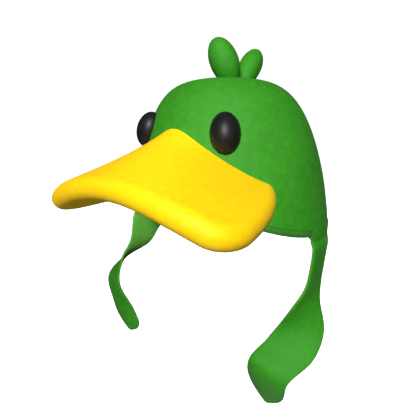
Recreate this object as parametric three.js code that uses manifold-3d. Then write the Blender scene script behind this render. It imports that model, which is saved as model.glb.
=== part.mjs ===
// Duck-head hat for an adult head, in millimetres.
// +Z is up, -Y is the front where the bill points, +X is the wearer's left.
// The origin is the centre of the head opening, level with the hem over the ears.
import * as THREE from 'three';
import { mergeVertices } from 'three/addons/utils/BufferGeometryUtils.js';
import Module from 'manifold-3d';

const wasm = await Module();
wasm.setup();

// ---- driving dimensions -------------------------------------------------------------------------

const GAP = 0.35;                     // clearance between pieces that lie against each other

const crown = {
  halfWidth: 93, halfDepth: 96,       // half axes of the crown's plan, before the flare
  height: 138,                        // from the hem over the ears to the top
  roundTop: 1.8, fullness: 4.25,      // exponents of the profile
  flare: 0.09, flareCentre: 0.6,      // how far the crown widens towards the hem
  lean: -13.4,                        // the top's shift along Y
  frontRise: 31,                      // how far the hem climbs over the forehead
};
const hem = { height: 6.5, proud: 0.8 };

// Distances of each layer's two faces below the crown's outer face.
const layers = {
  shell: [0, 3],
  interlining: [3.35, 5.75],
  lining: [6.4, 7.6],
  sweatband: [8, 9.6],
  label: [8.7, 9.5],
};
const CROWN = { segments: 28, rows: 9, sweatbandRows: 2 };
const label = { halfAngle: 0.13, low: 54, high: 76 };

const eye = { halfWidth: 12, halfHeight: 16.4, depth: 11.5 };
const eyeAt = { left: { angle: 32.8, height: 89.5 }, right: { angle: -32.2, height: 93 } };
const shank = { radius: 2.5, inner: 13, washerRadius: 8.5, washerFaces: [8.7, 10.5] };

// The bill's middle surface is one bicubic patch on each side of the midline. Each row runs from
// the midline to the side edge, and the rows run from the crown to the front edge.
const bill = {
  rootHalf: 12, frontHalf: 9.5, cover: 1.4,
  corner: { across: 0.14, along: 0.15, rows: 0.4 },   // shares that the round corners take up
  net: [
    [[0, -79, 86], [13, -79, 86], [33, -66.5, 58.5], [62, -57, 42.5]],
    [[0, -103.5, 71.5], [21.5, -103.5, 71.5], [47.5, -90.5, 53], [78, -73.5, 38.5]],
    [[0, -129, 62.5], [30, -129, 62.5], [59, -119, 48.5], [86.5, -102, 32.5]],
    [[0, -153, 52.5], [34.5, -153, 52.5], [66, -153.5, 41.5], [90, -142, 30]],
  ],
};

// Each tuft lobe leans along Y, tilts along X and stands on a round root of its own radius.
const lobes = {
  front: {
    root: [6.5, -17], rootRadius: 6.5, lean: -26, tilt: -17, halfX: 13, halfY: 13.5, height: 34,
  },
  back: {
    root: [5, 9], rootRadius: 6, lean: 37, tilt: 3, halfX: 10.5, halfY: 11, height: 35,
  },
};
const LOBE_COVER = 1.5;

// Each strap hangs from one side of the hem. Its rows give the centre line, the half width, and
// the width's direction: turned away from +Y towards +X, and raised above level.
const strap = {
  thickness: 3.8, tipLength: 0.1,
  waistRow: { left: 3, right: 3 },    // the row where the tail bends
  waistGap: 0.8,
};
const strapRows = {
  left: [
    { at: [95, 2, -2.3], half: 20, turn: 0, rise: 0 },
    { at: [99, -5.5, -11], half: 15, turn: 4, rise: -3 },
    { at: [98.5, -8, -30], half: 15.5, turn: 3, rise: -3 },
    { at: [97.5, -11.5, -47], half: 16.5, turn: 5, rise: -7 },
    { at: [95.5, -18, -64], half: 19, turn: 19, rise: -10 },
    { at: [94.5, -23, -87], half: 21.5, turn: 52, rise: -13 },
    { at: [88.5, -36.5, -106], half: 22, turn: 77, rise: -15 },
    { at: [76, -56, -125], half: 20, turn: 86, rise: -15 },
    { at: [69, -37, -170], half: 20, turn: 86, rise: -8 },
  ],
  right: [
    { at: [93, -22, -1], half: 20, turn: 6, rise: -8 },
    { at: [104, -32, -12], half: 19, turn: -22, rise: -31 },
    { at: [106.5, -43.5, -38], half: 15, turn: -3, rise: -19 },
    { at: [114.5, -64, -56.5], half: 15, turn: 45, rise: -12 },
    { at: [117.5, -77, -81], half: 16.5, turn: 74, rise: 0 },
    { at: [109.5, -73.5, -112.5], half: 18, turn: 88, rise: -1 },
    { at: [101, -68.5, -145], half: 17.5, turn: 90, rise: -3 },
  ],
};

const colour = {
  felt: 0x3a9428, feltInside: 0x5cab4c, bill: 0xffdc18, eye: 0x2a2a2c,
  foam: 0xe8e4d8, lining: 0x4f9a44, band: 0x2f6f28, label: 0xf4f4f0, washer: 0xd8d8d8,
};
const finish = {
  felt: { color: colour.felt, roughness: 0.85 },
  feltInside: { color: colour.feltInside, roughness: 0.9 },
  billFabric: { color: colour.bill, roughness: 0.6 },
  eyePlastic: { color: colour.eye, roughness: 0.35 },
  foam: { color: colour.foam, roughness: 0.95 },
  lining: { color: colour.lining, roughness: 0.8 },
  band: { color: colour.band, roughness: 0.85 },
  label: { color: colour.label, roughness: 0.7 },
  washer: { color: colour.washer, roughness: 0.5 },
};

const hat = new THREE.Group();

function add(name, geometry, look) {
  const mesh = new THREE.Mesh(geometry, new THREE.MeshStandardMaterial({ metalness: 0, ...look }));
  mesh.name = name;
  hat.add(mesh);
  return mesh;
}

// ---- solids -------------------------------------------------------------------------------------

function signedVolume(position, index) {
  const a = new THREE.Vector3();
  const b = new THREE.Vector3();
  const c = new THREE.Vector3();
  let sum = 0;
  for (let i = 0; i < index.length; i += 3) {
    a.fromBufferAttribute(position, index[i]);
    b.fromBufferAttribute(position, index[i + 1]);
    c.fromBufferAttribute(position, index[i + 2]);
    sum += a.dot(b.cross(c));
  }
  return sum;
}

// Shared vertices merged, collapsed triangles dropped and the faces turned outwards.
function closed(geometry) {
  geometry.deleteAttribute('normal');
  geometry.deleteAttribute('uv');
  const merged = mergeVertices(geometry, 1e-4);
  const all = merged.index.array;
  const kept = [];
  for (let i = 0; i < all.length; i += 3) {
    const [a, b, c] = [all[i], all[i + 1], all[i + 2]];
    if (a !== b && b !== c && c !== a) kept.push(a, b, c);
  }
  if (signedVolume(merged.attributes.position, kept) < 0) kept.reverse();
  merged.setIndex(kept);
  merged.computeVertexNormals();
  return merged;
}

function fromPoints(points, index) {
  const geometry = new THREE.BufferGeometry().setFromPoints(points);
  geometry.setIndex(index);
  return closed(geometry);
}

// A sheet with real thickness: face(0, u, v) is one face and face(1, u, v) the other, for u and v
// from 0 to 1. With wrap, u = 1 meets u = 0.
function thickSheet(columns, rows, wrap, face) {
  const points = [];
  const index = [];
  const at = (side, i, j) => (side * (columns + 1) + i) * (rows + 1) + j;
  for (const side of [0, 1]) {
    for (let i = 0; i <= columns; i++) {
      const u = wrap && i === columns ? 0 : i / columns;
      for (let j = 0; j <= rows; j++) points.push(face(side, u, j / rows));
    }
  }
  const quad = (a, b, c, d) => index.push(a, b, c, a, c, d);
  for (let i = 0; i < columns; i++) {
    for (let j = 0; j < rows; j++) {
      quad(at(0, i, j), at(0, i + 1, j), at(0, i + 1, j + 1), at(0, i, j + 1));
      quad(at(1, i, j), at(1, i, j + 1), at(1, i + 1, j + 1), at(1, i + 1, j));
    }
    quad(at(1, i, 0), at(1, i + 1, 0), at(0, i + 1, 0), at(0, i, 0));
    quad(at(0, i, rows), at(0, i + 1, rows), at(1, i + 1, rows), at(1, i, rows));
  }
  for (let j = 0; !wrap && j < rows; j++) {
    quad(at(0, 0, j), at(0, 0, j + 1), at(1, 0, j + 1), at(1, 0, j));
    quad(at(0, columns, j), at(1, columns, j), at(1, columns, j + 1), at(0, columns, j + 1));
  }
  return fromPoints(points, index);
}

// A solid through closed loops of points, with a fan over each end.
function loft(loops) {
  const count = loops[0].length;
  const points = loops.flat();
  const index = [];
  for (let j = 0; j + 1 < loops.length; j++) {
    for (let i = 0; i < count; i++) {
      const next = (i + 1) % count;
      const [a, b] = [j * count + i, j * count + next];
      index.push(a, b, b + count, a, b + count, a + count);
    }
  }
  for (const end of [0, loops.length - 1]) {
    const centre = new THREE.Vector3();
    loops[end].forEach((point) => centre.addScaledVector(point, 1 / count));
    const hub = points.push(centre) - 1;
    for (let i = 0; i < count; i++) {
      const [a, b] = [end * count + i, end * count + (i + 1) % count];
      index.push(...(end === 0 ? [hub, b, a] : [hub, a, b]));
    }
  }
  return fromPoints(points, index);
}

function toManifold(geometry) {
  return new wasm.Manifold(new wasm.Mesh({
    numProp: 3,
    vertProperties: new Float32Array(geometry.attributes.position.array),
    triVerts: new Uint32Array(geometry.index.array),
  }));
}

function fromManifold(solid) {
  const { vertProperties, triVerts } = solid.getMesh();
  const geometry = new THREE.BufferGeometry();
  geometry.setAttribute('position', new THREE.BufferAttribute(vertProperties, 3));
  geometry.setIndex([...triVerts]);
  return closed(geometry);
}

const cutFrom = (geometry, ...tools) => fromManifold(
  tools.reduce((solid, tool) => solid.subtract(toManifold(tool)), toManifold(geometry)));

// ---- crown --------------------------------------------------------------------------------------

// The profile's relative radius at relative height s, and the point of the same curve that lies
// in the direction psi from the crown's centre.
const radiusAt = (s) => (1 - s ** crown.roundTop) ** (1 / crown.fullness);

function profileAt(psi) {
  let [low, high] = [0, 1.5];
  for (let i = 0; i < 40; i++) {
    const k = (low + high) / 2;
    const side = (k * Math.cos(psi)) ** crown.fullness + (k * Math.sin(psi)) ** crown.roundTop;
    if (side < 1) low = k;
    else high = k;
  }
  return [low * Math.cos(psi), low * Math.sin(psi)];
}

// Theta is the angle from the front, towards +X.
function crownPoint(theta, r, s) {
  const wide = r * (1 + crown.flare * (crown.flareCentre - s));
  return new THREE.Vector3(
    crown.halfWidth * wide * Math.sin(theta),
    -crown.halfDepth * wide * Math.cos(theta) + crown.lean * s,
    crown.height * s);
}

function crownNormal(theta, psi) {
  if (psi > Math.PI / 2 - 1e-3) return new THREE.Vector3(0, 0, 1);
  const step = 1e-4;
  const around = crownPoint(theta + step, ...profileAt(psi)).sub(crownPoint(theta, ...profileAt(psi)));
  const up = crownPoint(theta, ...profileAt(psi + step)).sub(crownPoint(theta, ...profileAt(psi)));
  return around.cross(up).normalize();
}

const directionTo = (s) => Math.atan2(s, radiusAt(s));
const hemHeight = (theta) => crown.frontRise * Math.max(0, Math.cos(theta)) ** 2;

function crownInset(theta, psi, inset) {
  return crownPoint(theta, ...profileAt(psi)).addScaledVector(crownNormal(theta, psi), -inset);
}

// The point a share v of the way from the layers' lower edge to the top. Every layer follows the
// same grid of directions, so neighbouring layers lie facet against facet.
function layerPoint(theta, v, inset) {
  const start = directionTo((hemHeight(theta) + hem.height + GAP) / crown.height);
  return crownInset(theta, start + v * (Math.PI / 2 - start), inset);
}

function crownLayer(faces) {
  return thickSheet(CROWN.segments, CROWN.rows, true,
    (side, u, v) => layerPoint(u * 2 * Math.PI, v, faces[side]));
}

// A solid dome just outside the crown, which trims what is sewn onto it.
function crownCutter() {
  const ring = (pointAt) => (
    Array.from({ length: CROWN.segments }, (_, i) => pointAt(i / CROWN.segments * 2 * Math.PI)));
  const skirt = ring((theta) => crownInset(theta, directionTo(0.001), -GAP));
  const dome = Array.from({ length: CROWN.rows + 1 }, (_, j) => (
    ring((theta) => layerPoint(theta, j / CROWN.rows, -GAP))));
  return loft([skirt, ...dome]);
}

// One quarter of the lining, moved away from its two seams.
function liningGore(quarter) {
  const start = quarter * Math.PI / 2;
  const middle = start + Math.PI / 4;
  const shift = new THREE.Vector3(Math.sign(Math.sin(middle)), -Math.sign(Math.cos(middle)), 0);
  shift.multiplyScalar(GAP / 2);
  return thickSheet(CROWN.segments / 4, CROWN.rows, false, (side, u, v) => (
    layerPoint(start + u * Math.PI / 2, v, layers.lining[side]).add(shift)));
}

function sweatband() {
  const share = CROWN.sweatbandRows / CROWN.rows;
  return thickSheet(CROWN.segments, CROWN.sweatbandRows, true, (side, u, v) => (
    layerPoint(u * 2 * Math.PI, v * share, layers.sweatband[side])));
}

// The bound edge closes the layers from below: a rounded band along the whole opening.
function hemBand() {
  const depth = [-hem.proud, layers.sweatband[1] + GAP];
  const middle = (depth[0] + depth[1]) / 2;
  return thickSheet(CROWN.segments, 3, true, (side, u, v) => {
    const theta = u * 2 * Math.PI;
    const draw = v === 0 || v === 1 ? 0.9 : 1;
    const inset = middle + (depth[side] - middle) * draw;
    return crownInset(theta, directionTo((hemHeight(theta) + v * hem.height) / crown.height), inset);
  });
}

function careLabel() {
  return thickSheet(2, 2, false, (side, u, v) => {
    const theta = Math.PI + (2 * u - 1) * label.halfAngle;
    const height = label.low + v * (label.high - label.low);
    return crownInset(theta, directionTo(height / crown.height), layers.label[side]);
  });
}

// ---- eyes ---------------------------------------------------------------------------------------

// A frame on the crown: X across the eye, Y up it and Z outwards.
function eyeFrame({ angle, height }) {
  const theta = THREE.MathUtils.degToRad(angle);
  const psi = directionTo(height / crown.height);
  const out = crownNormal(theta, psi);
  const up = crownInset(theta, psi + 1e-3, 0).sub(crownInset(theta, psi, 0)).normalize();
  const across = up.clone().cross(out).normalize();
  return new THREE.Matrix4().makeBasis(across, out.clone().cross(across), out)
    .setPosition(crownInset(theta, psi, 0));
}

function shankGeometry(radius) {
  const cylinder = new THREE.CylinderGeometry(radius, radius, shank.inner + eye.depth / 2, 12);
  cylinder.rotateX(Math.PI / 2).translate(0, 0, (eye.depth / 2 - shank.inner) / 2);
  return cylinder;
}

function eyeGeometry(place, cutter) {
  const ball = new THREE.SphereGeometry(1, 20, 14).scale(eye.halfWidth, eye.halfHeight, eye.depth);
  const cap = toManifold(closed(ball.applyMatrix4(place))).subtract(toManifold(cutter));
  return fromManifold(cap.add(toManifold(closed(shankGeometry(shank.radius).applyMatrix4(place)))));
}

function washerGeometry(place) {
  const hole = shank.radius + GAP;
  const [near, far] = shank.washerFaces;
  const ring = [[hole, near], [hole, far], [shank.washerRadius, far], [shank.washerRadius, near]];
  const profile = [...ring, ring[0]].map(([x, y]) => new THREE.Vector2(x, -y));
  return closed(new THREE.LatheGeometry(profile, 16).rotateX(Math.PI / 2).applyMatrix4(place));
}

// ---- bill ---------------------------------------------------------------------------------------

const bernstein = (t) => [(1 - t) ** 3, 3 * t * (1 - t) ** 2, 3 * t * t * (1 - t), t ** 3];

// The middle surface, for s from -1 at the right edge to 1 at the left and v from crown to front.
function billMiddle(s, v) {
  const across = bernstein(Math.abs(s));
  const along = bernstein(v);
  const point = new THREE.Vector3();
  bill.net.forEach((row, i) => row.forEach((corner, j) => {
    point.addScaledVector(new THREE.Vector3(...corner), along[i] * across[j]);
  }));
  if (s < 0) point.x = -point.x;
  return point;
}

// The patch's parameters at a share across, from -1 to 1, and a row from the root to the front.
// The last rows turn the two front corners round.
function billPlace(share, row) {
  const { across, along, rows } = bill.corner;
  if (row < 1 - rows) return [share, row / (1 - rows) * (1 - along)];
  const turn = (row - 1 + rows) / rows * Math.PI / 2;
  return [share * (1 - across * (1 - Math.cos(turn))), 1 - along * (1 - Math.sin(turn))];
}

function billNormal(s, v) {
  const step = 1e-3;
  const [s0, v0] = [Math.min(Math.max(s, step - 1), 1 - step), Math.min(Math.max(v, step), 1 - step)];
  const across = billMiddle(s0 + step, v0).sub(billMiddle(s0 - step, v0));
  const along = billMiddle(s0, v0 + step).sub(billMiddle(s0, v0 - step));
  return across.cross(along).normalize().negate();
}

// The direction out of the outline, along the side edge or along the front edge.
function billOut(share, row, normal) {
  const step = 1e-3;
  const [s, v] = billPlace(share, row);
  const [from, to] = Math.abs(share) === 1 && row < 1
    ? [billPlace(share, row - step), billPlace(share, row + step)]
    : [[s - step, v], [s + step, v]];
  const edge = billMiddle(...to).sub(billMiddle(...from));
  return edge.cross(normal).normalize().multiplyScalar(share === 1 && row < 1 ? -1 : 1);
}

const BILL = { across: 14, round: 3, along: 10 };

// One point of the bill, drawn in from its skin and lifted off the seam. The column runs from the
// right seam over the face to the left seam, and the row from the root to the seam in front.
function billSkin(column, row, inset, face, lift = 0) {
  const i = Math.round(column * (BILL.across + 2 * BILL.round)) - BILL.round;
  const j = Math.round(row * (BILL.along + BILL.round));
  const share = Math.min(Math.max(i / BILL.across, 0), 1) * 2 - 1;
  const place = Math.min(j / BILL.along, 1);
  const beyond = (k, last) => Math.max(-k, k - last, 0) / BILL.round * Math.PI / 2;
  const angle = Math.max(beyond(i, BILL.across), beyond(j, BILL.along));
  const [s, v] = billPlace(share, place);
  const reach = THREE.MathUtils.lerp(bill.rootHalf, bill.frontHalf, v) - inset;
  const normal = billNormal(s, v);
  return billMiddle(s, v)
    .addScaledVector(normal, face * (reach * Math.cos(angle) + lift))
    .addScaledVector(billOut(share, place, normal), reach * Math.sin(angle));
}

const billSize = [BILL.across + 2 * BILL.round, BILL.along + BILL.round];

// Both covers stop short of the seam that runs round the bill's edge.
function billCover(face) {
  return thickSheet(...billSize, false, (side, u, v) => (
    billSkin(u, v, side * bill.cover, face, GAP / 2)));
}

function billCore() {
  const inset = bill.cover + GAP;
  const [columns, rows] = billSize;
  const loops = [];
  for (let j = 0; j <= rows; j++) {
    const loop = [];
    for (let i = 0; i < columns; i++) loop.push(billSkin(i / columns, j / rows, inset, 1));
    for (let i = columns; i > 0; i--) loop.push(billSkin(i / columns, j / rows, inset, -1));
    loops.push(loop);
  }
  return loft(loops);
}

// ---- tuft ---------------------------------------------------------------------------------------

const LOBE = { around: 16, rings: 10, opening: 0.13, narrowRoot: 0.6 };

// A leaf-shaped lobe, drawn in by a distance. Share runs from the root to the tip, and the lobe
// bends about the centre of its round root, which stands on top of the crown.
function lobePoint(lobe, turn, share, distance) {
  const angle = share * Math.PI;
  const reach = (lobe.height + lobe.rootRadius) / 2;
  const height = reach - lobe.rootRadius - (reach - distance) * Math.cos(angle);
  const narrow = THREE.MathUtils.lerp(LOBE.narrowRoot, 1, THREE.MathUtils.smoothstep(share, 0, 0.5));
  const swell = Math.sin(angle) * narrow;
  const x = (lobe.halfX - distance) * swell * Math.cos(turn);
  const y = (lobe.halfY - distance) * swell * Math.sin(turn);
  const foot = new THREE.Vector3(...lobe.root, crown.height + GAP + lobe.rootRadius);
  return new THREE.Vector3(x, y, height)
    .applyAxisAngle(new THREE.Vector3(0, 1, 0), THREE.MathUtils.degToRad(lobe.tilt))
    .applyAxisAngle(new THREE.Vector3(1, 0, 0), -THREE.MathUtils.degToRad(lobe.lean)).add(foot);
}

// The cover is open at the root, where it is sewn down.
function lobeCover(lobe) {
  return thickSheet(LOBE.around, LOBE.rings, true, (side, u, v) => (
    lobePoint(lobe, u * 2 * Math.PI, LOBE.opening + v * (1 - LOBE.opening), side * LOBE_COVER)));
}

function lobeFilling(lobe) {
  return loft(Array.from({ length: LOBE.rings + 1 }, (_, j) => (
    Array.from({ length: LOBE.around }, (__, i) => (
      lobePoint(lobe, (i / LOBE.around) * 2 * Math.PI, j / LOBE.rings, LOBE_COVER + GAP))))));
}

// ---- ear flaps and tails ------------------------------------------------------------------------

const SIDE_SIGN = { left: 1, right: -1 };
const STRAP = { across: 4, flapRows: 9, tailRows: 16 };
const HALF = strap.thickness / 2;

// A smooth curve through one value of every row; t runs from 0 at the hem to 1 at the tip.
function throughRows(rows, value, t) {
  const x = Math.min(t, 1 - 1e-9) * (rows.length - 1);
  const i = Math.floor(x);
  const f = x - i;
  const last = rows.length - 1;
  const [p1, p2] = [value(rows[i]), value(rows[i + 1])];
  const p0 = i > 0 ? value(rows[i - 1]) : 2 * p1 - p2;
  const p3 = i + 2 <= last ? value(rows[i + 2]) : 2 * p2 - p1;
  return 0.5 * (2 * p1 + (p2 - p0) * f + (2 * p0 - 5 * p1 + 4 * p2 - p3) * f * f
    + (3 * p1 - p0 - 3 * p2 + p3) * f * f * f);
}

// The strap's centre, its half width and three directions: across it, out of its outer face, and
// down its length.
function strapFrame(rows, t) {
  const centre = (at) => new THREE.Vector3(...[0, 1, 2].map((k) => throughRows(rows, (r) => r.at[k], at)));
  const turn = THREE.MathUtils.degToRad(throughRows(rows, (r) => r.turn, t));
  const rise = THREE.MathUtils.degToRad(throughRows(rows, (r) => r.rise, t));
  const across = new THREE.Vector3(
    Math.sin(turn) * Math.cos(rise), Math.cos(turn) * Math.cos(rise), Math.sin(rise));
  const step = 1e-3;
  const path = centre(Math.min(t + step, 1)).sub(centre(Math.max(t - step, 0)));
  const out = path.cross(across).normalize();
  const down = across.clone().cross(out);
  const rounding = Math.max(0, 1 - (1 - t) / strap.tipLength);
  const half = throughRows(rows, (r) => r.half, t) * Math.sqrt(1 - 0.96 * rounding ** 2);
  return { centre: centre(t), half, across, out, down };
}

// One layer of a stretch of strap. Each row of the list has its place t, how far it is moved up
// from there, and the share of the half thickness that its outside has.
function strapLayer(side, face, list) {
  const rows = strapRows[side];
  return thickSheet(STRAP.across, list.length - 1, false, (inner, u, v) => {
    const { t, up = 0, share = 1 } = list[Math.round(v * (list.length - 1))];
    const { centre, half, across, out, down } = strapFrame(rows, t);
    const depth = inner ? GAP / 2 : HALF * share;
    const point = centre.addScaledVector(across, half * (1 - 2 * u))
      .addScaledVector(down, -up).addScaledVector(out, face * depth);
    return point.setX(point.x * SIDE_SIGN[side]);
  });
}

// An end that turns about the strap's own middle line is rounded about that line.
const roundedEnd = (t) => [80, 45].map((degrees) => {
  const angle = THREE.MathUtils.degToRad(degrees);
  return { t, up: HALF * Math.sin(angle), share: Math.cos(angle) };
});

const evenly = (from, to, count) => Array.from({ length: count + 1 }, (_, i) => (
  { t: from + (to - from) * i / count }));

function flapLayer(side, face) {
  const waist = strap.waistRow[side] / (strapRows[side].length - 1);
  const end = { t: waist, up: HALF + strap.waistGap };
  return strapLayer(side, face, [...roundedEnd(0), ...evenly(0, waist * 0.88, STRAP.flapRows), end]);
}

function tailLayer(side, face) {
  const waist = strap.waistRow[side] / (strapRows[side].length - 1);
  return strapLayer(side, face, [...roundedEnd(waist), ...evenly(waist, 1, STRAP.tailRows)]);
}

// ---- assembly -----------------------------------------------------------------------------------

const cutter = crownCutter();
const eyePlaces = { left: eyeFrame(eyeAt.left), right: eyeFrame(eyeAt.right) };
const shankHoles = Object.values(eyePlaces).map((place) => (
  closed(shankGeometry(shank.radius + GAP).applyMatrix4(place))));

add('crown_shell', cutFrom(crownLayer(layers.shell), ...shankHoles), finish.felt);
add('crown_interlining',
  cutFrom(crownLayer(layers.interlining), ...shankHoles), finish.foam);
['front_left', 'back_left', 'back_right', 'front_right'].forEach((corner, quarter) => {
  add(`lining_gore_${corner}`, cutFrom(liningGore(quarter), ...shankHoles), finish.lining);
});
add('sweatband', sweatband(), finish.band);
add('hem_band', hemBand(), finish.band);
add('care_label', careLabel(), finish.label);

add('bill_top_cover', cutFrom(billCover(1), cutter), finish.billFabric);
add('bill_bottom_cover', cutFrom(billCover(-1), cutter), finish.billFabric);
add('bill_foam_core', cutFrom(billCore(), cutter), finish.foam);

for (const [name, lobe] of Object.entries(lobes)) {
  add(`tuft_lobe_${name}`, lobeCover(lobe), finish.felt);
  add(`tuft_filling_${name}`, lobeFilling(lobe), finish.foam);
}

for (const side of ['left', 'right']) {
  add(`eye_${side}`, eyeGeometry(eyePlaces[side], cutter), finish.eyePlastic);
  add(`eye_washer_${side}`, washerGeometry(eyePlaces[side]), finish.washer);
  add(`ear_flap_outer_${side}`, flapLayer(side, 1), finish.felt);
  add(`ear_flap_lining_${side}`, flapLayer(side, -1), finish.feltInside);
  add(`strap_tail_outer_${side}`, tailLayer(side, 1), finish.felt);
  add(`strap_tail_lining_${side}`, tailLayer(side, -1), finish.feltInside);
}

export default hat;
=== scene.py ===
# Looks of the duck-head hat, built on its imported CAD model. Lengths below are in millimetres
# unless a name says otherwise; meshes are made in metres.
import math

import bmesh
import bpy
from mathutils import Matrix, Vector


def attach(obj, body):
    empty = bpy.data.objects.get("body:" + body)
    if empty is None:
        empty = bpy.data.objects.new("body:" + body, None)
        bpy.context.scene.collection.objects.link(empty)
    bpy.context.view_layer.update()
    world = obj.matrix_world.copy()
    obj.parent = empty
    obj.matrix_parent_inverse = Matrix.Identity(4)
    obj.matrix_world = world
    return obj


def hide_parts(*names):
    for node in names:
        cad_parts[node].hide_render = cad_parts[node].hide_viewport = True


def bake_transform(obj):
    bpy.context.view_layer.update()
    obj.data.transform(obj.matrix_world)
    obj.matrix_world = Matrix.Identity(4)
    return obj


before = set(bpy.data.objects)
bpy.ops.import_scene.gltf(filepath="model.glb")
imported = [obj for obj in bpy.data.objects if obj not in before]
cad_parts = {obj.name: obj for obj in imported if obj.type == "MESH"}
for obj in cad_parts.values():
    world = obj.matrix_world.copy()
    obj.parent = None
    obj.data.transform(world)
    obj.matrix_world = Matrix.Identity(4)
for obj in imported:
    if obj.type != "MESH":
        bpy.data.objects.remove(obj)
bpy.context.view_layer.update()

MM = 0.001

# ---- driving dimensions --------------------------------------------------------------------------
# The crown's shape, the eyes, the bill's net and most strap rows are as in the CAD model. The cloth
# layers, the tuft lobes, the bill's corner rows and the ends of the tails differ from it a little.

CROWN_HALF_WIDTH = 93.0
CROWN_HALF_DEPTH = 96.0
CROWN_HEIGHT = 138.0
ROUND_TOP = 1.8
FULLNESS = 4.25
FLARE = 0.09
FLARE_CENTRE = 0.6
LEAN = -13.4
FRONT_RISE = 31.0
HEM_HEIGHT = 6.5
HEM_OVERLAP = 2.0           # how far the crown's layers reach down into the bound edge
SHELL_FACES = (0.0, 4.5)
LINING_FACES = (6.2, 7.4)
SWEATBAND_FACES = (7.6, 9.4)
SWEATBAND_HEIGHT = 34.0
SWEATBAND_TOP_THIN = 0.35   # the band's thickness at its upper edge, as a share
LABEL_LEVELS = (54.0, 76.0)
LABEL_HALF_ANGLE = 0.13
LABEL_INSET = 7.7
LABEL_THICKNESS = 0.5
LABEL_CURL = 1.2

EYE_ANGLE = {"left": 32.8, "right": 32.2}
EYE_HEIGHT = {"left": 89.5, "right": 93.0}
EYE_HALF = (12.0, 16.4, 11.5)
EYE_FOOT = ((1.0, -1.5), (0.985, -4.5))     # shares of the oval, and levels behind the felt's face
EYE_SHANK = ((0.2, -4.8), (0.18, -13.0))    # shares of the half width, and levels

BILL_NET = (
    ((0, -79, 86), (13, -79, 86), (33, -66.5, 58.5), (62, -57, 42.5)),
    ((0, -103.5, 71.5), (21.5, -103.5, 71.5), (47.5, -90.5, 53), (78, -73.5, 38.5)),
    ((0, -129, 62.5), (30, -129, 62.5), (59, -119, 48.5), (86.5, -102, 32.5)),
    ((0, -153, 52.5), (34.5, -153, 52.5), (66, -153.5, 41.5), (90, -142, 30)),
)
BILL_ROOT_HALF = 12.0
BILL_FRONT_HALF = 9.5
BILL_CORNER_ACROSS = 0.14   # how far the rounded front corners reach along the front and the sides
BILL_CORNER_ALONG = 0.15
BILL_CORNER_ROWS = 0.3
BILL_BURIED = 2.0           # how deep the bill's root lies in the crown

LOBES = {
    "front": dict(centre=(3.3, -24, 154), lean=-20, tilt=-17, radius=13.4, above=21.5, below=21.5),
    "back": dict(centre=(6, 18, 156), lean=37, tilt=3, radius=11.5, above=20.5, below=26),
}

LOBE_SEAM = 0.035           # how deep the lobes' seams pull in, as a share of their radius

STRAP_HALF_THICKNESS = 1.9
FLAP_TOP = 13.0             # the level that a flap is sewn up to on the crown
STRAP_TOP_SHARE = 0.16
STRAP_HELD = 0.12           # where along the strap it has left the crown's shape
FLARE_BACK, FLARE_FRONT = 13.0, 3.5     # how much wider the flap is where it leaves the hem
STRAP_TIP = 0.1             # the share of the strap that its round tip takes
CUP = 3.0                   # how far the tail's edges curl in at its end
CUT = {"left": 0.2, "right": 0.27}      # where along the strap the flap's mesh ends
INSIDE_UV = 200.0           # how far aside the inner face lies in the flat pattern
STRAP_ROWS = {
    "left": (
        ((95, 2, -2.3), 20, 0, 0),
        ((99, -5.5, -11), 15, 4, -3),
        ((98.5, -8, -30), 15.5, 3, -3),
        ((97.5, -11.5, -47), 16.5, 5, -7),
        ((95.5, -18, -64), 19, 19, -10),
        ((94.5, -23, -87), 21.5, 52, -13),
        ((88.5, -36.5, -106), 22, 77, -15),
        ((76, -56, -125), 20, 86, -15),
        ((69, -37, -172.5), 20, 86, -8),
    ),
    "right": (
        ((93, -22, -1), 20, 6, -8),
        ((104, -32, -12), 19, -22, -31),
        ((106.5, -43.5, -38), 15, -3, -19),
        ((114.5, -64, -56.5), 15, 45, -12),
        ((118.5, -77, -81), 18, 74, 0),
        ((111, -73.5, -112.5), 20.5, 88, -1),
        ((103.5, -68.5, -145), 20.5, 90, -3),
    ),
}
WAIST_ROW = 3
SIDE_SIGN = {"left": 1, "right": -1}


def clamp(x, low=0.0, high=1.0):
    return min(max(x, low), high)


def lerp(a, b, t):
    return a + (b - a) * t


def smoothstep(x, low, high):
    t = clamp((x - low) / (high - low))
    return t * t * (3 - 2 * t)


# ---- meshes --------------------------------------------------------------------------------------

def mesh_object(name, points, faces, uvs=None):
    """A smooth mesh object from points in millimetres, with one UV in metres for each point."""
    mesh = bpy.data.meshes.new(name)
    mesh.from_pydata([tuple(c * MM for c in p) for p in points], [], faces)
    mesh.validate()
    if uvs is not None:
        layer = mesh.uv_layers.new(name="flat")
        for loop in mesh.loops:
            u, v = uvs[loop.vertex_index]
            layer.data[loop.index].uv = (u * MM, v * MM)
    mesh.polygons.foreach_set("use_smooth", [True] * len(mesh.polygons))
    piece = bpy.data.objects.new(name, mesh)
    bpy.context.scene.collection.objects.link(piece)
    return piece


def grid_faces(columns, rows, start=0, wrap=False, flip=False):
    """Quads of a grid of points stored column by column."""
    faces = []
    across = columns if wrap else columns - 1
    for i in range(across):
        for j in range(rows - 1):
            a = start + i * rows + j
            b = start + (i + 1) % columns * rows + j
            quad = (a, b, b + 1, a + 1)
            faces.append(quad[::-1] if flip else quad)
    return faces


def end_faces(count, start, paired):
    """The faces over one end of a solid: one face, or a strip where the loop runs out and back."""
    if not paired:
        return [tuple(range(start, start + count))]
    strip = []
    for i in range(count // 2):
        corners = (i, i + 1, count - i - 1, (count - i) % count)
        strip.append(tuple(dict.fromkeys(start + corner for corner in corners)))
    return strip


def ring_edges(columns, rows):
    """Quads that join the lower and the upper edges of two closed rings of columns."""
    count = columns * rows
    quads = []
    for i in range(columns):
        a = i * rows
        b = (i + 1) % columns * rows
        quads.append((b, a, a + count, b + count))
        quads.append((a + rows - 1, b + rows - 1, b + rows - 1 + count, a + rows - 1 + count))
    return quads


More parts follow.
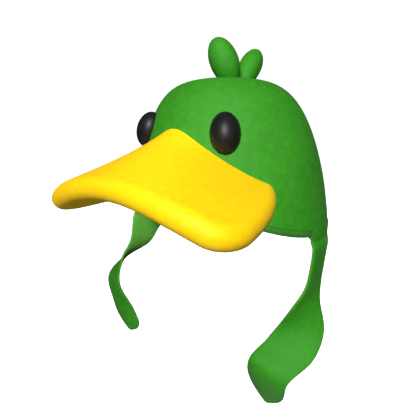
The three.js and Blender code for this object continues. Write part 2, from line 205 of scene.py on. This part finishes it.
def loop_solid(name, loops, uv=None, closed=True, paired=False):
    """A solid through closed loops of points, with flat faces over each end when closed."""
    count = len(loops[0])
    points = [p for loop in loops for p in loop]
    faces = []
    if closed:
        faces += [face[::-1] for face in end_faces(count, 0, paired)]
        faces += end_faces(count, len(points) - count, paired)
    ends = len(faces)
    for j in range(len(loops) - 1):
        for i in range(count):
            a = j * count + i
            b = j * count + (i + 1) % count
            faces.append((a, b, b + count, a + count))
    piece = mesh_object(name, points, faces, uv)
    for cap in piece.data.polygons[:ends]:
        cap.use_smooth = False
    return piece


def dress(piece, material):
    piece.data.materials.clear()
    piece.data.materials.append(material)
    return piece


# ---- crown ---------------------------------------------------------------------------------------

def radius_at(s):
    return max(0.0, 1 - max(s, 0.0) ** ROUND_TOP) ** (1 / FULLNESS)


def profile_at(psi):
    low, high = 0.0, 1.5
    for _ in range(40):
        k = (low + high) / 2
        side = (k * math.cos(psi)) ** FULLNESS + (k * math.sin(psi)) ** ROUND_TOP
        if side < 1:
            low = k
        else:
            high = k
    return low * math.cos(psi), low * math.sin(psi)


def crown_point(theta, r, s):
    wide = r * (1 + FLARE * (FLARE_CENTRE - s))
    return Vector((
        CROWN_HALF_WIDTH * wide * math.sin(theta),
        -CROWN_HALF_DEPTH * wide * math.cos(theta) + LEAN * s,
        CROWN_HEIGHT * s))


def crown_at(theta, psi):
    """The crown's outer face at an angle round from the front and a direction up its profile.
    Below the hem's level the face carries straight on down."""
    if psi < 0:
        return crown_point(theta, 1.0, math.tan(psi))
    return crown_point(theta, *profile_at(psi))


def crown_normal(theta, psi):
    if psi > math.pi / 2 - 2e-3:
        return Vector((0, 0, 1))
    step = 1e-3
    around = crown_at(theta + step, psi) - crown_at(theta - step, psi)
    up = crown_at(theta, psi + step) - crown_at(theta, psi - step)
    return around.cross(up).normalized()


def direction_to(height):
    s = height / CROWN_HEIGHT
    return math.atan2(s, radius_at(s))


def crown_inset(theta, psi, inset):
    return crown_at(theta, psi) - crown_normal(theta, psi) * inset


def hem_level(theta):
    return FRONT_RISE * max(0.0, math.cos(theta)) ** 2


def theta_for(y, height):
    """The angle round the crown of the point at this y and height, on the side of +X."""
    s = height / CROWN_HEIGHT
    wide = radius_at(s) * (1 + FLARE * (FLARE_CENTRE - s))
    cosine = clamp((LEAN * s - y) / (CROWN_HALF_DEPTH * wide), -1, 1)
    return math.acos(cosine)


def crown_depth(p):
    """Roughly how deep a point lies inside the crown's outer face."""
    s = p.z / CROWN_HEIGHT
    if s >= 1:
        return -50.0
    wide = radius_at(s) * (1 + FLARE * (FLARE_CENTRE - s))
    across = p.x / (CROWN_HALF_WIDTH * wide)
    along = (p.y - LEAN * s) / (CROWN_HALF_DEPTH * wide)
    return (1 - math.hypot(across, along)) * CROWN_HALF_WIDTH * wide


def layer_start(theta):
    """The level of the lower edge of the crown's layers."""
    return hem_level(theta) + HEM_HEIGHT - HEM_OVERLAP


def dome(name, columns, rows, faces):
    """A thick layer of the crown, between two insets, from its lower edge up to its top."""
    points = []
    uvs = []
    for side in (0, 1):
        for i in range(columns):
            theta = 2 * math.pi * i / columns
            start = direction_to(layer_start(theta))
            for j in range(rows):
                psi = lerp(start, math.pi / 2, j / (rows - 1))
                points.append(crown_inset(theta, psi, faces[side]))
                uvs.append((theta * 90, psi * 130))
    count = columns * rows
    quads = grid_faces(columns, rows, 0, True) + grid_faces(columns, rows, count, True, True)
    quads += ring_edges(columns, rows)
    return mesh_object(name, points, quads, uvs)


# ---- materials -----------------------------------------------------------------------------------

class Nodes:
    """A small helper that adds and links shader nodes in one material."""

    def __init__(self, name):
        self.material = bpy.data.materials.new(name)
        self.material.use_nodes = True
        self.tree = self.material.node_tree
        self.shader = self.tree.nodes["Principled BSDF"]
        self.coords = self.tree.nodes.new("ShaderNodeTexCoord")

    def add(self, kind, inputs=None, **props):
        node = self.tree.nodes.new(kind)
        for key, value in props.items():
            setattr(node, key, value)
        for key, value in (inputs or {}).items():
            if isinstance(value, bpy.types.NodeSocket):
                self.tree.links.new(value, node.inputs[key])
            else:
                node.inputs[key].default_value = value
        return node

    def set(self, **values):
        for key, value in values.items():
            socket = self.shader.inputs[key.replace("_", " ")]
            if isinstance(value, bpy.types.NodeSocket):
                self.tree.links.new(value, socket)
            else:
                socket.default_value = value

    def noise(self, vector, scale, detail=2.0, rough=0.5):
        inputs = {"Vector": vector, "Scale": scale, "Detail": detail, "Roughness": rough}
        return self.add("ShaderNodeTexNoise", inputs).outputs[0]

    def ramp(self, value, low, high, out_low, out_high):
        return self.add("ShaderNodeMapRange", {
            "Value": value, "From Min": low, "From Max": high,
            "To Min": out_low, "To Max": out_high}).outputs[0]

    def math(self, operation, a, b, c=0.0):
        return self.add("ShaderNodeMath", {0: a, 1: b, 2: c}, operation=operation).outputs[0]

    def mix(self, share, a, b):
        node = self.add("ShaderNodeMix", data_type="RGBA")
        for key, value in ((0, share), (6, a), (7, b)):
            if isinstance(value, bpy.types.NodeSocket):
                self.tree.links.new(value, node.inputs[key])
            else:
                node.inputs[key].default_value = value
        return node.outputs[2]

    def bump(self, height, distance_mm, strength, below=None):
        inputs = {"Height": height, "Distance": distance_mm * MM, "Strength": strength}
        if below is not None:
            inputs["Normal"] = below
        return self.add("ShaderNodeBump", inputs).outputs[0]


def rgba(r, g, b):
    return (r, g, b, 1.0)


def fleece(name, deep, light, on_uv=True):
    """Brushed felt: matted fibres, soft mottling and a fuzzy sheen."""
    n = Nodes(name)
    vector = n.coords.outputs["UV"] if on_uv else n.coords.outputs["Object"]
    cloud = n.noise(vector, 22.0, 2.0, 0.5)
    mottle = n.noise(vector, 160.0, 3.0, 0.6)
    fibre = n.noise(vector, 900.0, 4.0, 0.65)
    shade = n.math("MULTIPLY_ADD", mottle, 0.45, n.math("MULTIPLY", cloud, 0.25))
    shade = n.math("MULTIPLY_ADD", fibre, 0.3, shade)
    colour = n.mix(n.ramp(shade, 0.36, 0.64, 0.0, 1.0), deep, light)
    n.set(Base_Color=colour, Roughness=n.ramp(mottle, 0.3, 0.7, 0.65, 0.75),
          Sheen_Weight=0.04, Sheen_Roughness=0.45, Sheen_Tint=FUZZ, Specular_IOR_Level=0.3)
    soft = n.bump(mottle, 0.35, 0.35)
    n.set(Normal=n.bump(fibre, 0.28, 0.5, soft))
    return n.material


def satin_fleece(name, deep, light, rough):
    """The bill's smooth, slightly shiny short-nap cloth, with a faint painted glow in its deep
    yellow.
    """
    n = Nodes(name)
    vector = n.coords.outputs["Object"]
    cloud = n.noise(vector, 18.0, 2.0, 0.5)
    mottle = n.noise(vector, 240.0, 3.0, 0.6)
    fibre = n.noise(vector, 1200.0, 3.0, 0.6)
    shade = n.math("MULTIPLY_ADD", cloud, 0.5, n.math("MULTIPLY", mottle, 0.5))
    colour = n.mix(n.ramp(shade, 0.38, 0.62, 0.0, 1.0), deep, light)
    # The emission is painted light: a faint glow that brightens the bill's shaded sides and
    # underside.
    n.set(Base_Color=colour, Roughness=n.ramp(mottle, 0.3, 0.7, rough - 0.04, rough + 0.06),
          Sheen_Weight=0.03, Sheen_Roughness=0.5, Sheen_Tint=rgba(1.0, 0.9, 0.5),
          Specular_IOR_Level=0.18, Emission_Color=deep, Emission_Strength=0.05)
    n.set(Normal=n.bump(fibre, 0.16, 0.35, n.bump(mottle, 0.2, 0.25)))
    return n.material


def woven(name, deep, light, pitch_mm=0.7):
    """Plain weave: crossing threads from two waves."""
    n = Nodes(name)
    vector = n.coords.outputs["UV"]
    scale = 1 / (math.pi * pitch_mm * MM)
    waves = []
    for direction in ("X", "Y"):
        wave = n.add("ShaderNodeTexWave",
                     {"Vector": vector, "Scale": scale, "Distortion": 0.6, "Detail": 1.0},
                     bands_direction=direction)
        waves.append(wave.outputs[1])
    weave = n.math("MULTIPLY", waves[0], waves[1])
    mottle = n.noise(vector, 120.0, 3.0, 0.6)
    shade = n.math("MULTIPLY_ADD", weave, 0.6, n.math("MULTIPLY", mottle, 0.5))
    colour = n.mix(n.ramp(shade, 0.2, 0.7, 0.0, 1.0), deep, light)
    n.set(Base_Color=colour, Roughness=n.ramp(mottle, 0.3, 0.7, 0.73, 0.86),
          Sheen_Weight=0.1, Specular_IOR_Level=0.3)
    n.set(Normal=n.bump(weave, 0.2, 0.6, n.bump(mottle, 0.3, 0.2)))
    return n.material


def moulded(name, colour_a, colour_b, rough, specular=0.5):
    """Injection-moulded plastic with a faint texture and slight wear."""
    n = Nodes(name)
    vector = n.coords.outputs["Object"]
    grain = n.noise(vector, 1500.0, 2.0, 0.5)
    cloud = n.noise(vector, 120.0, 3.0, 0.6)
    n.set(Base_Color=n.mix(cloud, colour_a, colour_b),
          Roughness=n.ramp(cloud, 0.3, 0.7, rough - 0.04, rough + 0.05),
          Specular_IOR_Level=specular)
    n.set(Normal=n.bump(grain, 0.03, 0.3))
    return n.material


GREEN_DEEP = rgba(0.022, 0.21, 0.005)
GREEN_LIGHT = rgba(0.036, 0.29, 0.01)
FUZZ = rgba(0.5, 0.8, 0.4)
felt = fleece("felt_green", GREEN_DEEP, GREEN_LIGHT, on_uv=False)
strap_felt = fleece("felt_green_strap", GREEN_DEEP, GREEN_LIGHT)
# The straps' inner faces take a lighter, yellower copy of the green felt: painted light, as if those
# faces were lit.
strap_inside_painted_light = fleece("felt_light_green", rgba(0.07, 0.3, 0.025), rgba(0.11, 0.39, 0.045))
# The hem's felt is a darker copy of the crown's green: painted shade for the bound edge, which turns
# under and faces down.
hem_felt_painted_shade = fleece("hem_green", rgba(0.022, 0.15, 0.01), rgba(0.04, 0.21, 0.02))
bill_cloth = satin_fleece("bill_yellow", rgba(0.93, 0.55, 0.002), rgba(0.98, 0.63, 0.004), 0.56)
eye_plastic = moulded("eye_black", rgba(0.008, 0.008, 0.008), rgba(0.012, 0.012, 0.012), 0.42, 0.22)
lining_cloth = woven("lining_green", rgba(0.03, 0.15, 0.02), rgba(0.06, 0.24, 0.04))
band_cloth = woven("band_green", rgba(0.02, 0.1, 0.014), rgba(0.045, 0.17, 0.03), 1.1)
label_cloth = woven("label_white", rgba(0.72, 0.72, 0.68), rgba(0.86, 0.86, 0.83), 0.5)
washer_plastic = moulded("washer_white", rgba(0.6, 0.6, 0.58), rgba(0.7, 0.7, 0.68), 0.5)

# ---- crown pieces --------------------------------------------------------------------------------

shell = dress(dome("crown_felt", 128, 60, SHELL_FACES), felt)
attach(shell, "crown")
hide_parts("crown_shell", "crown_interlining")


def under_flap(theta):
    """How far the bound edge sinks where an ear flap is sewn over it."""
    point = crown_at(theta, 0.0)
    (_, middle, _), half, _, _ = STRAP_ROWS["left" if point.x > 0 else "right"][0]
    past = abs(point.y - middle) - half
    return 1.7 * (1 - smoothstep(past, -1.0, 5.0))


def hem_binding():
    """The bound edge: a flattened roll that turns under the crown's lower edge."""
    columns, around = 180, 22
    middle = 4.6
    half_depth, half_height = 5.3, HEM_HEIGHT / 2
    loops = []
    uvs = []
    for i in range(columns + 1):
        theta = 2 * math.pi * i / columns
        loop = []
        for k in range(around):
            angle = 2 * math.pi * k / around
            c, s = math.cos(angle), math.sin(angle)
            bulge_x = math.copysign(abs(c) ** 0.55, c)
            bulge_z = math.copysign(abs(s) ** 0.55, s)
            level = hem_level(theta) + half_height * (1 + bulge_z)
            inset = middle - half_depth * bulge_x + under_flap(theta)
            loop.append(crown_inset(theta, direction_to(level), inset))
            uvs.append((theta * 95, k * 1.4))
        loops.append(loop)
    return loop_solid("hem_binding", loops, uvs, closed=False)


hem = dress(hem_binding(), hem_felt_painted_shade)
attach(hem, "crown")
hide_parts("hem_band")

lining = dress(dome("crown_lining", 96, 40, LINING_FACES), lining_cloth)
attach(lining, "crown")
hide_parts("lining_gore_front_left", "lining_gore_back_left",
            "lining_gore_back_right", "lining_gore_front_right")


def sweatband():
    columns, rows = 128, 10
    points = []
    uvs = []
    for side in (0, 1):
        for i in range(columns):
            theta = 2 * math.pi * i / columns
            low = layer_start(theta)
            high = low + SWEATBAND_HEIGHT * (1 - low / CROWN_HEIGHT)
            for j in range(rows):
                v = j / (rows - 1)
                psi = direction_to(lerp(low, high, v))
                thick = SWEATBAND_TOP_THIN if j == rows - 1 else 1.0
                inset = lerp(*SWEATBAND_FACES, thick * side)
                points.append(crown_inset(theta, psi, inset))
                uvs.append((theta * 86, v * SWEATBAND_HEIGHT))
    count = columns * rows
    quads = grid_faces(columns, rows, 0, True) + grid_faces(columns, rows, count, True, True)
    quads += ring_edges(columns, rows)
    return mesh_object("sweatband_cloth", points, quads, uvs)


band = dress(sweatband(), band_cloth)
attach(band, "crown")
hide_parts("sweatband")


def care_label():
    columns, rows = 10, 12
    points = []
    uvs = []
    for side in (0, 1):
        for i in range(columns):
            for j in range(rows):
                u, v = i / (columns - 1), j / (rows - 1)
                theta = math.pi + (2 * u - 1) * LABEL_HALF_ANGLE
                inset = LABEL_INSET + LABEL_CURL * (1 - v) ** 2 + side * LABEL_THICKNESS
                points.append(crown_inset(theta, direction_to(lerp(*LABEL_LEVELS, v)), inset))
                uvs.append((u * 22, v * 22))
    count = columns * rows
    quads = grid_faces(columns, rows) + grid_faces(columns, rows, count, False, True)
    for i in range(columns - 1):
        a, b = i * rows, (i + 1) * rows
        quads.append((b, a, a + count, b + count))
        quads.append((a + rows - 1, b + rows - 1, b + rows - 1 + count, a + rows - 1 + count))
    for j in range(rows - 1):
        quads.append((j, j + 1, j + 1 + count, j + count))
        k = (columns - 1) * rows + j
        quads.append((k + 1, k, k + count, k + 1 + count))
    return mesh_object("care_label_cloth", points, quads, uvs)


label = dress(care_label(), label_cloth)
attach(label, "crown")
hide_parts("care_label")

# ---- eyes ----------------------------------------------------------------------------------------


def eye_matrix(side):
    theta = SIDE_SIGN[side] * math.radians(EYE_ANGLE[side])
    psi = direction_to(EYE_HEIGHT[side])
    out = crown_normal(theta, psi)
    up = (crown_at(theta, psi + 1e-3) - crown_at(theta, psi)).normalized()
    across = up.cross(out).normalized()
    rows = Matrix((across, out.cross(across), out)).transposed().to_4x4()
    return Matrix.Translation(crown_at(theta, psi)) @ rows


def eye(side):
    """A domed oval button with a straight side at its foot and a round shank behind."""
    place = eye_matrix(side)
    around, rings = 64, 26
    half_width, half_height, depth = EYE_HALF
    ovals = [(0.02, 0.02, depth)]
    for j in range(1, rings + 1):
        angle = math.pi / 2 * (1 - j / rings)
        reach = math.cos(angle)
        ovals.append((half_width * reach, half_height * reach, depth * math.sin(angle)))
    ovals += [(half_width * share, half_height * share, level) for share, level in EYE_FOOT]
    ovals += [(half_width * share, half_width * share, level) for share, level in EYE_SHANK]
    loops = []
    for wide, high, level in ovals:
        angles = (2 * math.pi * i / around for i in range(around))
        loop = [place @ Vector((wide * math.cos(t), high * math.sin(t), level)) for t in angles]
        loops.append(loop[::-1])
    return loop_solid(f"eye_button_{side}", loops)


for side in ("left", "right"):
    button = dress(eye(side), eye_plastic)
    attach(button, "crown")
    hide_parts(f"eye_{side}")
    dress(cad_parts[f"eye_washer_{side}"], washer_plastic)

# ---- bill ----------------------------------------------------------------------------------------


def bernstein(t):
    return ((1 - t) ** 3, 3 * t * (1 - t) ** 2, 3 * t * t * (1 - t), t ** 3)


def bill_middle(s, v):
    across = bernstein(abs(s))
    along = bernstein(v)
    point = Vector((0, 0, 0))
    for i, row in enumerate(BILL_NET):
        for j, corner in enumerate(row):
            point += Vector(corner) * (along[i] * across[j])
    if s < 0:
        point.x = -point.x
    return point


def bill_place(share, row):
    """The patch's parameters at a share across, from -1 to 1, and a row from the root to the front.
    The last rows turn the two front corners round."""
    if row < 1 - BILL_CORNER_ROWS:
        return share, row / (1 - BILL_CORNER_ROWS) * (1 - BILL_CORNER_ALONG)
    turn = (row - 1 + BILL_CORNER_ROWS) / BILL_CORNER_ROWS * math.pi / 2
    wide = 1 - BILL_CORNER_ACROSS * (1 - math.cos(turn))
    return share * wide, 1 - BILL_CORNER_ALONG * (1 - math.sin(turn))


def bill_normal(s, v):
    step = 1e-3
    s0, v0 = clamp(s, step - 1, 1 - step), clamp(v, step, 1 - step)
    across = bill_middle(s0 + step, v0) - bill_middle(s0 - step, v0)
    along = bill_middle(s0, v0 + step) - bill_middle(s0, v0 - step)
    return -across.cross(along).normalized()


def bill_skin(share, row, over, ahead, face):
    """A point of the bill's skin: over and ahead are angles round its side and front edges."""
    s, v = bill_place(share, row)
    normal = bill_normal(s, v)
    step = 1e-3
    if over > 0:
        low, high = max(row - step, 0.0), min(row + step, 1.0)
        edge = bill_middle(*bill_place(share, high)) - bill_middle(*bill_place(share, low))
        out = edge.cross(normal).normalized() * (1 if share < 0 else -1)
    else:
        edge = bill_middle(min(s + step, 1.0), v) - bill_middle(max(s - step, -1.0), v)
        out = edge.cross(normal).normalized()
    angle = max(over, ahead)
    reach = lerp(BILL_ROOT_HALF, BILL_FRONT_HALF, v)
    raised = normal * (face * reach * math.cos(angle))
    return bill_middle(s, v) + raised + out * (reach * math.sin(angle))


def bill():
    across, rounding, along = 72, 10, 56
    columns = across + 2 * rounding + 1
    points = []
    faces = []
    for face in (1, -1):
        start = len(points)
        for i in range(columns):
            k = i - rounding
            share = clamp(k / across) * 2 - 1
            over = max(-k, k - across, 0) / rounding * math.pi / 2
            low, high = 0.0, 0.75
            for _ in range(24):
                row = (low + high) / 2
                if crown_depth(bill_skin(share, row, over, 0.0, face)) > BILL_BURIED:
                    low = row
                else:
                    high = row
            for j in range(along + 1):
                points.append(bill_skin(share, lerp(low, 1.0, j / along), over, 0.0, face))
            for j in range(1, rounding + 1):
                points.append(bill_skin(share, 1.0, over, j / rounding * math.pi / 2, face))
        faces += grid_faces(columns, along + rounding + 1, start, False, face > 0)
    piece = mesh_object("bill_padded", points, faces)
    weld(piece, 0.02)
    return piece


def weld(piece, distance_mm):
    """Joins the points that lie together."""
    work = bmesh.new()
    work.from_mesh(piece.data)
    bmesh.ops.remove_doubles(work, verts=work.verts, dist=distance_mm * MM)
    bmesh.ops.recalc_face_normals(work, faces=work.faces)
    work.to_mesh(piece.data)
    work.free()


beak = dress(bill(), bill_cloth)
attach(beak, "crown")
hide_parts("bill_top_cover", "bill_bottom_cover", "bill_foam_core")
beak.visible_shadow = False

# ---- tuft ----------------------------------------------------------------------------------------


def lobe_piece(name, lobe):
    """A stuffed egg-shaped lobe, leaning along Y and tilted along X, with its foot in the crown."""
    around, rings = 56, 44
    lean, tilt = math.radians(lobe["lean"]), math.radians(lobe["tilt"])
    axis = Vector((math.sin(tilt), math.sin(lean), math.cos(lean))).normalized()
    across = Vector((0, 1, 0)).cross(axis).normalized()
    along = axis.cross(across)
    loops = []
    for j in range(rings + 1):
        angle = math.pi * clamp(j / rings, 0.004, 0.996)
        height = -math.cos(angle)
        height *= lobe["above"] if height > 0 else lobe["below"]
        swell = lobe["radius"] * math.sin(angle)
        loop = []
        for i in range(around):
            t = 2 * math.pi * i / around
            seam = 1 - LOBE_SEAM * math.exp(-(math.sin(t) / 0.12) ** 2)
            offset = across * math.cos(t) + along * math.sin(t)
            loop.append(Vector(lobe["centre"]) + axis * height + offset * (swell * seam))
        loops.append(loop)
    return loop_solid(name, loops)


for end, lobe in LOBES.items():
    piece = dress(lobe_piece(f"tuft_{end}_padded", lobe), felt)
    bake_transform(piece)
    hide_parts(f"tuft_lobe_{end}", f"tuft_filling_{end}")

# ---- ear flaps and tails -------------------------------------------------------------------------


def through_rows(rows, value, t):
    """A smooth curve through one value of every row; t runs from 0 at the hem to 1 at the tip."""
    x = clamp(t, 0.0, 1 - 1e-9) * (len(rows) - 1)
    i = int(x)
    f = x - i
    last = len(rows) - 1
    p1, p2 = value(rows[i]), value(rows[i + 1])
    p0 = value(rows[i - 1]) if i > 0 else p1 * 2 - p2
    p3 = value(rows[i + 2]) if i + 2 <= last else p2 * 2 - p1
    return (p1 * 2 + (p2 - p0) * f + (p0 * 2 - p1 * 5 + p2 * 4 - p3) * (f * f)
            + (p1 * 3 - p0 - p2 * 3 + p3) * (f * f * f)) * 0.5


def flare(height, radius):
    """The concave corner's extra width at a height above or below the hem."""
    below = clamp(-height / (radius * 1.5))
    return radius * (1 - math.sqrt(1 - (1 - below) ** 2))


def strap_point(side, q, u):
    """A point of the strap's middle face. q runs from below 0, up on the crown, through 0 at the
    hem to 1 at the tip; u runs from 1 at the back edge to -1 at the front edge."""
    rows = STRAP_ROWS[side]
    t = clamp(q)
    centre = through_rows(rows, lambda row: Vector(row[0]), t)
    half = through_rows(rows, lambda row: row[1], t)
    turn = math.radians(through_rows(rows, lambda row: row[2], t))
    rise = math.radians(through_rows(rows, lambda row: row[3], t))
    tip = clamp(1 - (1 - t) / STRAP_TIP)
    half *= math.sqrt(1 - 0.96 * tip * tip)
    height = centre.z if q >= 0 else lerp(rows[0][0][2], FLAP_TOP, -q / STRAP_TOP_SHARE)
    offset = half * u
    offset += flare(height, FLARE_BACK) * max(u, 0.0) + flare(height, FLARE_FRONT) * min(u, 0.0)
    level = math.cos(rise)
    across = Vector((math.sin(turn) * level, math.cos(turn) * level, math.sin(rise)))
    curl = CUP * u * u * smoothstep(t, 0.5, 0.95)
    free = centre + across * offset - across.cross(Vector((0, 0, 1))).normalized() * curl
    if q > STRAP_HELD:
        return free
    y = rows[0][0][1] + offset if q < 0 else free.y
    theta = theta_for(y, max(height, -12.0))
    psi = direction_to(height) if height > 0 else math.atan(height / CROWN_HEIGHT)
    proud = lerp(0.4, -0.7, smoothstep(height, 6.0, FLAP_TOP))
    held = crown_inset(theta, psi, STRAP_HALF_THICKNESS - proud)
    return held.lerp(free, smoothstep(q, -0.02, STRAP_HELD))


def strap_outline(across, rounding):
    """Face, share across and angle round the edge, out along the front face and back behind."""
    outline = []
    for face in (1, -1):
        ks = range(-rounding, across + rounding + 1)
        if face < 0:
            ks = range(across + rounding - 1, -rounding, -1)
        for k in ks:
            over = max(-k, k - across, 0) / rounding * math.pi / 2
            outline.append((face, clamp(k / across), over))
    return outline


def strap_piece(name, side, q_from, q_to, steps, start_length=0.0):
    """A stretch of strap as a closed, slightly pillowed slab with round edges, and the greatest
    width, the length and the area that it is cut to. Its pattern carries on from start_length."""
    outline = strap_outline(18, 5)
    step, step_q = 0.02, 0.004
    sign = SIDE_SIGN[side]
    loops = []
    uvs = []
    length = 0.0
    area = 0.0
    widest = 0.0
    previous = strap_point(side, q_from, 0.0)
    stations = [j / steps for j in range(steps + 1)]
    for station in stations[:1] + [0.001] + stations[1:-1] + [0.999] + stations[-1:]:
        q = lerp(q_from, q_to, station)
        centre = strap_point(side, q, 0.0)
        width = (strap_point(side, q, 1.0) - strap_point(side, q, -1.0)).length
        area += width * (centre - previous).length
        length += (centre - previous).length
        widest = max(widest, width)
        previous = centre
        loop = []
        half_thick = min(STRAP_HALF_THICKNESS, max(width / 2, 0.3) * 0.8)
        inner = max(1 - 2 * half_thick / max(width, 0.01), 0.0)
        for face, share, over in outline:
            u = (1 - 2 * share) * inner
            wide = strap_point(side, q, u + step) - strap_point(side, q, u - step)
            down = strap_point(side, min(q + step_q, 1.0), u) - strap_point(side, q - step_q, u)
            normal = down.cross(wide).normalized()
            edge = wide.normalized() * (1 if share < 0.5 else -1)
            pillow = 1 - 0.25 * abs(1 - 2 * share) ** 6
            raised = normal * (face * half_thick * math.cos(over) * pillow)
            point = strap_point(side, q, u) + raised + edge * (half_thick * math.sin(over))
            loop.append(Vector((point.x * sign, point.y, point.z)))
            flat_x = (0.5 - share) * width + math.copysign(half_thick * math.sin(over), 0.5 - share)
            uvs.append((flat_x + (INSIDE_UV if face < 0 else 0), start_length + length))
        loops.append(loop if sign < 0 else loop[:1] + loop[:0:-1])
        if sign > 0:
            count = len(loop)
            uvs[1 - count:] = uvs[1 - count:][::-1]
    piece = loop_solid(name, loops, uvs, paired=True)
    return piece, widest * MM, length * MM, area * MM * MM


for side in ("left", "right"):
    rows = STRAP_ROWS[side]
    flap, *flap_cut = strap_piece(f"ear_flap_{side}", side, -STRAP_TOP_SHARE, CUT[side], 40)
    tail, *tail_cut = strap_piece(f"strap_tail_{side}", side, CUT[side], 1.0, 90, flap_cut[1] / MM)
    for piece, (width, length, area), hung_from in ((flap, flap_cut, hem), (tail, tail_cut, flap)):
        dress(piece, strap_felt)
        piece.data.materials.append(strap_inside_painted_light)
        # The inner faces get the lighter felt, which is painted light.
        for polygon in piece.data.polygons:
            uv = piece.data.uv_layers[0].data[polygon.loop_indices[0]].uv
            polygon.material_index = 1 if uv.x > INSIDE_UV * MM / 2 else 0
    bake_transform(flap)
    waist = WAIST_ROW / (len(rows) - 1)
    before, after = strap_point(side, waist - 0.06, 0.0), strap_point(side, waist + 0.06, 0.0)
    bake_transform(tail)
    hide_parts(f"ear_flap_outer_{side}", f"ear_flap_lining_{side}")
    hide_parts(f"strap_tail_outer_{side}", f"strap_tail_lining_{side}")

# ---- stage, lights and camera --------------------------------------------------------------------

CAMERA_AZIMUTH = math.radians(37.8)
CAMERA_ELEVATION = math.radians(13.5)
CAMERA_DISTANCE = 310.0
CAMERA_TARGET = Vector((0, -41.2, 15.9))
FOCAL_SHARE = 0.74524       # the focal length as a share of the picture's width
SENSOR_WIDTH = 36
LIGHT_TARGET = Vector((0, -30, 30))
LIGHT_DISTANCE = 1500.0


def look_direction(azimuth, elevation):
    return Vector((math.sin(azimuth) * math.cos(elevation), -math.cos(azimuth) * math.cos(elevation),
                   math.sin(elevation)))


def aimed(thing, position, target):
    thing.location = position * MM
    thing.rotation_euler = (position - target).to_track_quat("Z", "Y").to_euler()


camera = bpy.data.objects.new("camera", bpy.data.cameras.new("camera"))
bpy.context.scene.collection.objects.link(camera)
camera.data.sensor_width = SENSOR_WIDTH
camera.data.lens = SENSOR_WIDTH * FOCAL_SHARE
camera.data.clip_start = 0.01
towards = look_direction(CAMERA_AZIMUTH, CAMERA_ELEVATION)
aimed(camera, CAMERA_TARGET + towards * CAMERA_DISTANCE, CAMERA_TARGET)
bpy.context.scene.camera = camera


def area_light(name, azimuth, elevation, size, watts):
    """A round lamp aimed at the hat's middle."""
    data = bpy.data.lights.new(name, "AREA")
    data.shape = "DISK"
    data.size = size * MM
    data.energy = watts
    lamp = bpy.data.objects.new(name, data)
    bpy.context.scene.collection.objects.link(lamp)
    direction = look_direction(math.radians(azimuth), math.radians(elevation))
    aimed(lamp, LIGHT_TARGET + direction * LIGHT_DISTANCE, LIGHT_TARGET)


area_light("key", 30, 32, 500, 32)
area_light("floor_bounce", 0, -78, 1500, 4)
area_light("back_fill", 216, 10, 900, 15)


def studio():
    """A pale round studio: a flat floor that curves up into a wall on every side."""
    around, floor_radius, bend, level = 96, 3000.0, 900.0, -215.0
    profile = [(0.01, 0.0), (floor_radius * 0.5, 0.0), (floor_radius, 0.0)]
    profile += [(floor_radius + bend * math.sin(a), bend * (1 - math.cos(a)))
                for a in (math.pi / 2 * k / 12 for k in range(1, 13))]
    profile.append((floor_radius + bend, 6000.0))
    angles = [2 * math.pi * i / around for i in range(around)]
    loops = [[Vector((r * math.cos(t), r * math.sin(t), level + z)) for t in angles]
             for r, z in profile]
    return loop_solid("studio", loops, closed=False)


room = studio()
paint = Nodes("studio_pale")
cloud = paint.noise(paint.coords.outputs["Object"], 2.0)
tone = paint.mix(cloud, rgba(0.86, 0.86, 0.86), rgba(0.9, 0.9, 0.9))
paint.set(Base_Color=tone, Roughness=0.95, Specular_IOR_Level=0.0, Emission_Color=rgba(1, 1, 1),
          Emission_Strength=1.0)
dress(room, paint.material)
room.visible_diffuse = False
room.visible_glossy = False
room.visible_shadow = False

world = bpy.data.worlds.new("studio")
world.use_nodes = True
world.node_tree.nodes["Background"].inputs["Color"].default_value = rgba(1, 1, 1)
world.node_tree.nodes["Background"].inputs["Strength"].default_value = 0.015
bpy.context.scene.world = world
bpy.context.scene.view_settings.view_transform = "Standard"
